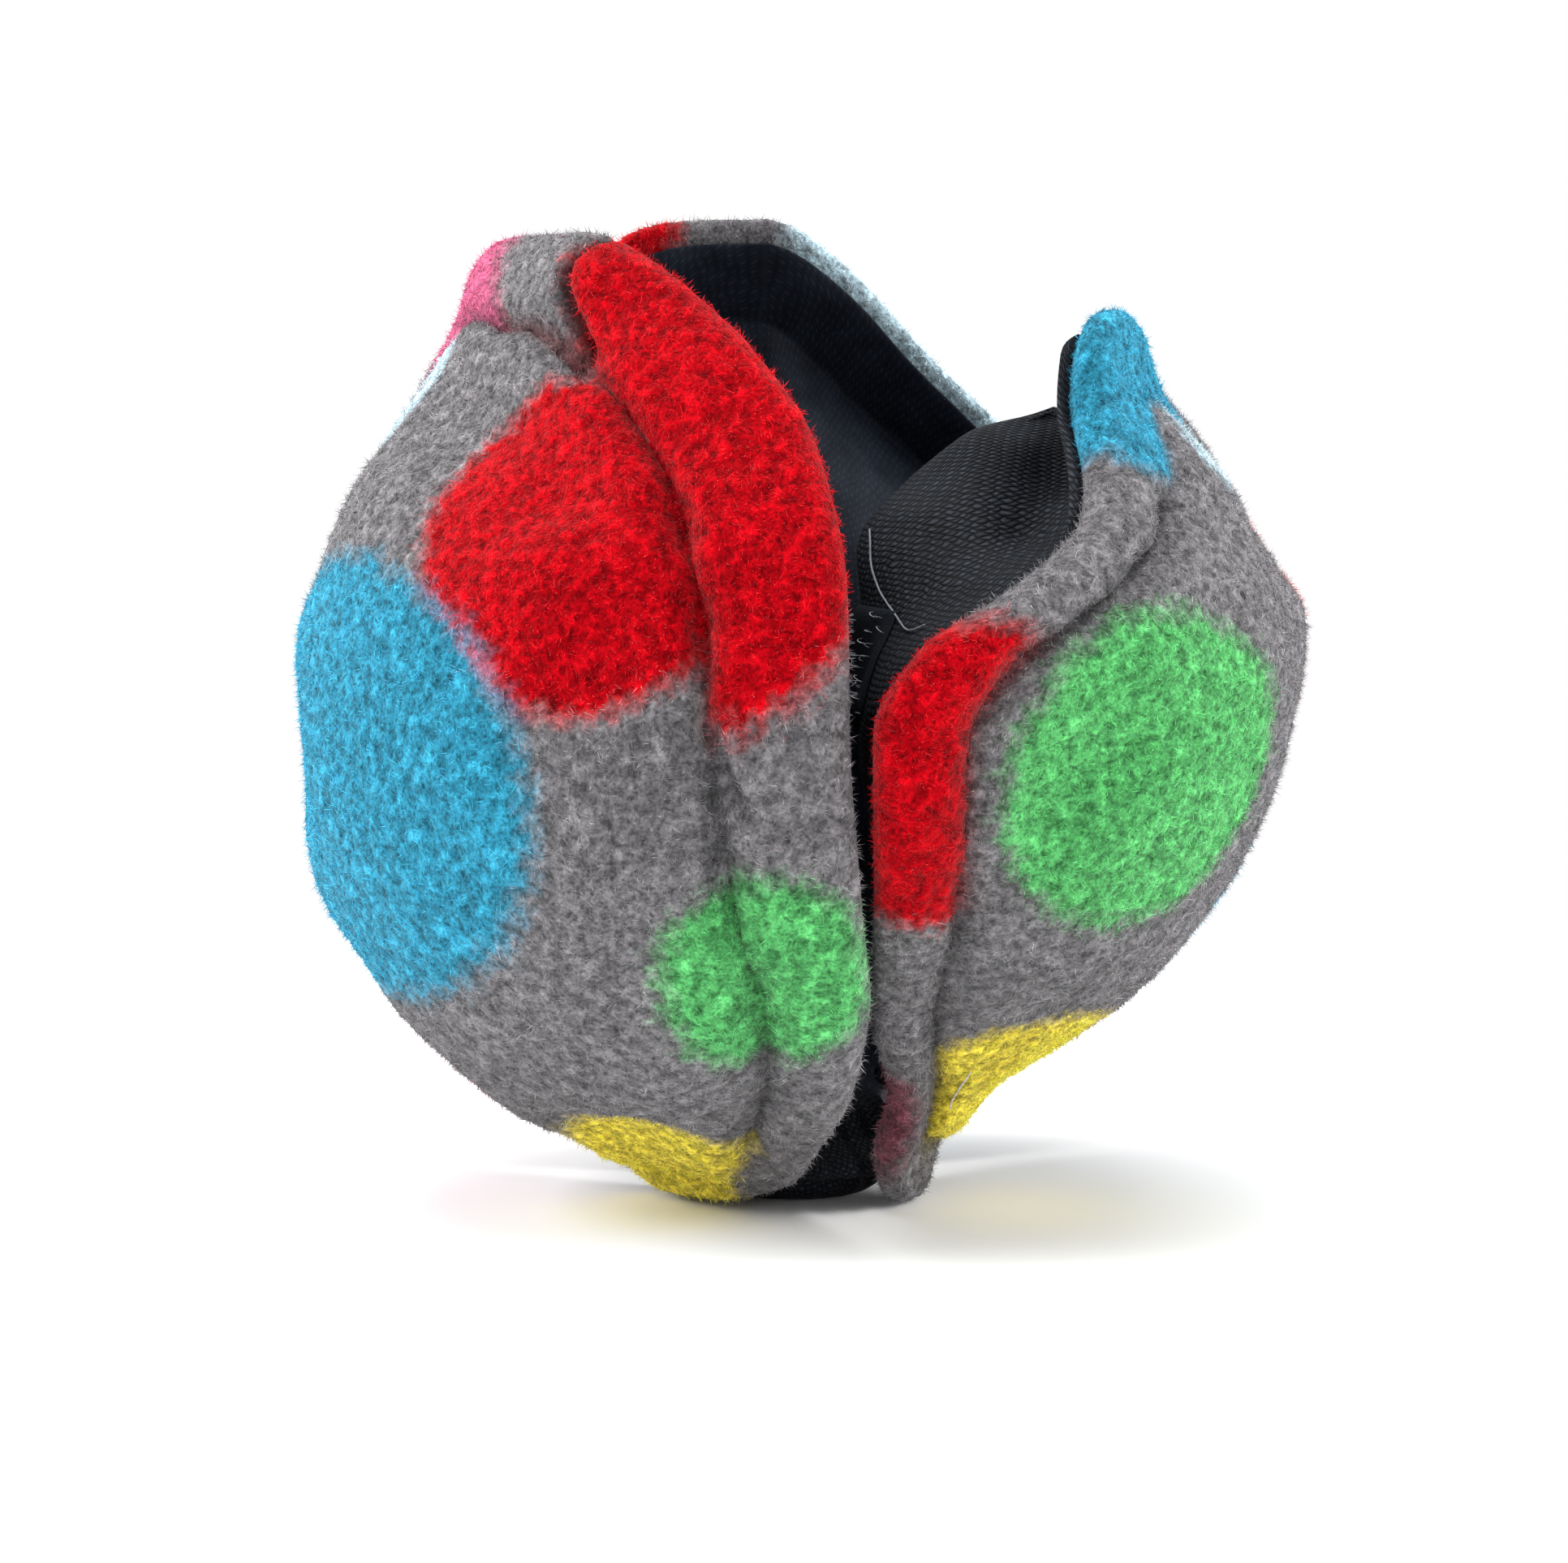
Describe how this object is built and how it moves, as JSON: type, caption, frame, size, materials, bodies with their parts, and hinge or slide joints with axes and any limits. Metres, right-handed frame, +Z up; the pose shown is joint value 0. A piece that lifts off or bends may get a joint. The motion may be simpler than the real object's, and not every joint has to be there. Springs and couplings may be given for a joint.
{
  "type": "fleece treat ball",
  "caption": "Soft ball of stuffed fleece petals sewn round a woven base, open at the top, with a black woven lining and pockets between the petals for hiding dry food.",
  "frame": {"origin": "centre of the flat face under the base", "axes": "+Z up out of the ball's open mouth, -Y towards the viewer of the picture, +X to the viewer's right"},
  "size_m": [0.1177, 0.1151, 0.1176],
  "materials": {
    "fleece": "grey melange fleece with large polka dots, matt and fuzzy",
    "lining": "coarse black weave, matt",
    "filling": "loose white polyester fibre",
    "hook_tape": "black nylon hooks",
    "loop_tape": "black brushed loops",
    "base_weave": "coarse black weave, matt",
    "thread": "black sewing thread"
  },
  "bodies": {
    "base": {"base_patch": "base_weave", "base_core": "base_weave", "base_stitching": "thread"},
    "left_lower": {"left_fleece_lower": "fleece", "left_lining_lower": "lining", "left_filling_lower": "filling"},
    "left_upper": {"left_fleece_upper": "fleece", "left_lining_upper": "lining", "left_filling_upper": "filling", "left_hook_tape": "hook_tape", "left_loop_tape": "loop_tape"},
    "right_lower": {"right_fleece_lower": "fleece", "right_lining_lower": "lining", "right_filling_lower": "filling"},
    "right_upper": {"right_fleece_upper": "fleece", "right_lining_upper": "lining", "right_filling_upper": "filling", "right_hook_tape": "hook_tape", "right_loop_tape": "loop_tape"},
    "back_lower": {"back_fleece_lower": "fleece", "back_lining_lower": "lining", "back_filling_lower": "filling"},
    "back_upper": {"back_fleece_upper": "fleece", "back_lining_upper": "lining", "back_filling_upper": "filling", "back_hook_tape": "hook_tape", "back_loop_tape": "loop_tape"}
  },
  "joints": [
    {"name": "left_root", "type": "hinge", "parent": "base", "child": "left_lower", "pos_m": [-0.00961, -0.00751, 0.0034], "axis": [0.6157, -0.788, 0], "range_deg": [0, 70]},
    {"name": "left_knuckle", "type": "hinge", "parent": "left_lower", "child": "left_upper", "pos_m": [-0.02364, -0.01847, 0.05803], "axis": [0.6157, -0.788, 0], "range_deg": [-4, 25]},
    {"name": "right_root", "type": "hinge", "parent": "base", "child": "right_lower", "pos_m": [0.01131, -0.00457, 0.0034], "axis": [0.3746, 0.9272, 0], "range_deg": [0, 70]},
    {"name": "right_knuckle", "type": "hinge", "parent": "right_lower", "child": "right_upper", "pos_m": [0.02782, -0.01124, 0.05803], "axis": [0.3746, 0.9272, 0], "range_deg": [-20, 25]},
    {"name": "back_root", "type": "hinge", "parent": "base", "child": "back_lower", "pos_m": [-0.0017, 0.01208, 0.0034], "axis": [-0.9903, -0.1392, 0], "range_deg": [0, 70]},
    {"name": "back_knuckle", "type": "hinge", "parent": "back_lower", "child": "back_upper", "pos_m": [-0.00418, 0.02971, 0.05803], "axis": [-0.9903, -0.1392, 0], "range_deg": [-8, 25]}
  ]
}
